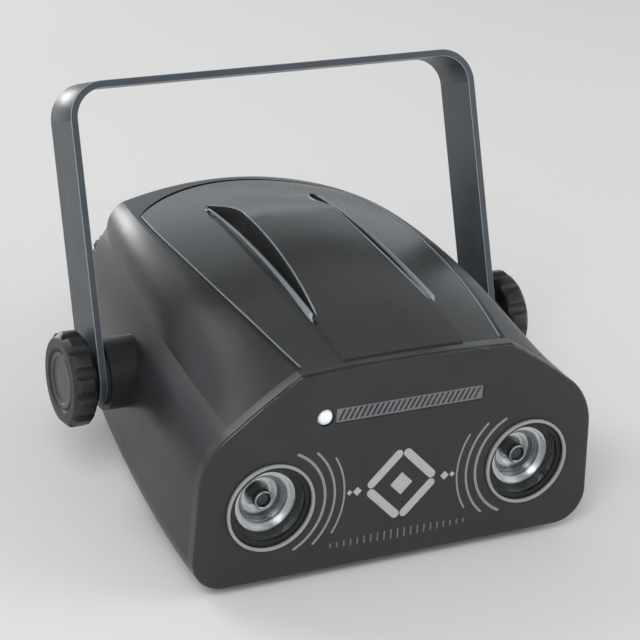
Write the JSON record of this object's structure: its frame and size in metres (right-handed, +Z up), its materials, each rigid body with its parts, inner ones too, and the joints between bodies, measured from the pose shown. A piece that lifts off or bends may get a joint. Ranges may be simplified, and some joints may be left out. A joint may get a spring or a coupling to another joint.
{
  "type": "laser show projector",
  "caption": "Low tapered black case with round lens windows in its front panel, hung in a U-shaped tilting bracket with clamp knobs; grating wheels, fan and rear controls.",
  "frame": {"origin": "under the middle of the whole part, at the underside of the feet", "axes": "+Z up, -Y out of the front panel, +X to the right seen from the front"},
  "size_m": [0.1416, 0.14, 0.1132],
  "materials": {
    "case_black": "satin moulded, lightly polished",
    "panel_black": "gloss",
    "trim_pale": "satin",
    "inner_black": "matt",
    "clear": "clear",
    "silver": "turned, bright",
    "grille_grey": "matt",
    "lamp_white": "diffused",
    "board_green": "solder mask",
    "chip_black": "matt",
    "can_metal": "sleeved can",
    "connector_ivory": "matt",
    "bench_metal": "machined",
    "laser_brass": "turned",
    "steel": "zinc plated",
    "hub_white": "matt",
    "bracket_grey": "satin powder coat",
    "knob_black": "fine texture",
    "insert_brass": "knurled",
    "rubber_black": "matt",
    "screen_black": "woven"
  },
  "bodies": {
    "case": {"base_tray": "case_black", "bench_screws": "steel", "board_screws": "steel", "capacitors": "can_metal", "case_screws": "steel", "collimator_left": "clear", "collimator_right": "clear", "connectors": "connector_ivory", "control_nuts": "steel", "controller_chip": "chip_black", "dc_inlet": "inner_black", "fan_frame": "inner_black", "fan_screws": "steel", "friction_washer_left": "rubber_black", "friction_washer_right": "rubber_black", "front_board": "board_green", "front_panel": "panel_black", "laser_barrel_left": "laser_brass", "laser_barrel_right": "laser_brass", "lens_barrel_left": "inner_black", "lens_barrel_right": "inner_black", "lens_trim_left": "trim_pale", "lens_trim_right": "trim_pale", "lens_window_left": "clear", "lens_window_right": "clear", "main_board": "board_green", "microphone": "can_metal", "microphone_grille": "grille_grey", "mode_switch": "inner_black", "optic_bench": "bench_metal", "pivot_insert_left": "insert_brass", "pivot_insert_right": "insert_brass", "reflector_left": "silver", "reflector_right": "silver", "rubber_feet": "rubber_black", "sound_control": "steel", "speed_control": "steel", "status_lamp": "lamp_white", "top_cover": "case_black", "upper_shell": "case_black", "vent_screens": "screen_black", "wheel_motor_left": "steel", "wheel_motor_right": "steel"},
    "bracket": {"bracket": "bracket_grey"},
    "knob_left": {"clamp_knob_left": "knob_black", "knob_stud_left": "steel"},
    "knob_right": {"clamp_knob_right": "knob_black", "knob_stud_right": "steel"},
    "wheel_left": {"grating_disc_left": "clear", "wheel_hub_left": "hub_white", "motor_shaft_left": "steel"},
    "wheel_right": {"grating_disc_right": "clear", "wheel_hub_right": "hub_white", "motor_shaft_right": "steel"},
    "fan": {"fan_rotor": "inner_black"},
    "sound_dial": {"sound_knob": "knob_black"},
    "speed_dial": {"speed_knob": "knob_black"},
    "mode": {"mode_slider": "inner_black"}
  },
  "joints": [
    {"name": "bracket_tilt", "type": "hinge", "parent": "case", "child": "bracket", "pos_m": [0, -0.002, 0.0355], "axis": [1, 0, 0], "range_deg": [-69.6, 200.4]},
    {"name": "knob_left_turn", "type": "hinge", "parent": "case", "child": "knob_left", "pos_m": [-0.062, -0.002, 0.0355], "axis": [-1, 0, 0], "range_deg": [0, 270]},
    {"name": "knob_right_turn", "type": "hinge", "parent": "case", "child": "knob_right", "pos_m": [0.062, -0.002, 0.0355], "axis": [1, 0, 0], "range_deg": [0, 270]},
    {"name": "wheel_left_spin", "type": "hinge", "parent": "case", "child": "wheel_left", "pos_m": [-0.0235, -0.0546, 0.0245], "axis": [0, 1, 0], "continuous": true},
    {"name": "wheel_right_spin", "type": "hinge", "parent": "case", "child": "wheel_right", "pos_m": [0.0235, -0.0546, 0.0245], "axis": [0, 1, 0], "continuous": true},
    {"name": "fan_spin", "type": "hinge", "parent": "case", "child": "fan", "pos_m": [0, 0.053, 0.0355], "axis": [0, 1, 0], "continuous": true},
    {"name": "sound_turn", "type": "hinge", "parent": "case", "child": "sound_dial", "pos_m": [-0.028, 0.061, 0.0405], "axis": [0, 1, 0], "range_deg": [-140, 140]},
    {"name": "speed_turn", "type": "hinge", "parent": "case", "child": "speed_dial", "pos_m": [0.028, 0.061, 0.0405], "axis": [0, 1, 0], "range_deg": [-140, 140]},
    {"name": "mode_slide", "type": "slide", "parent": "case", "child": "mode", "axis": [1, 0, 0], "range_m": [-0.002, 0.002]}
  ]
}
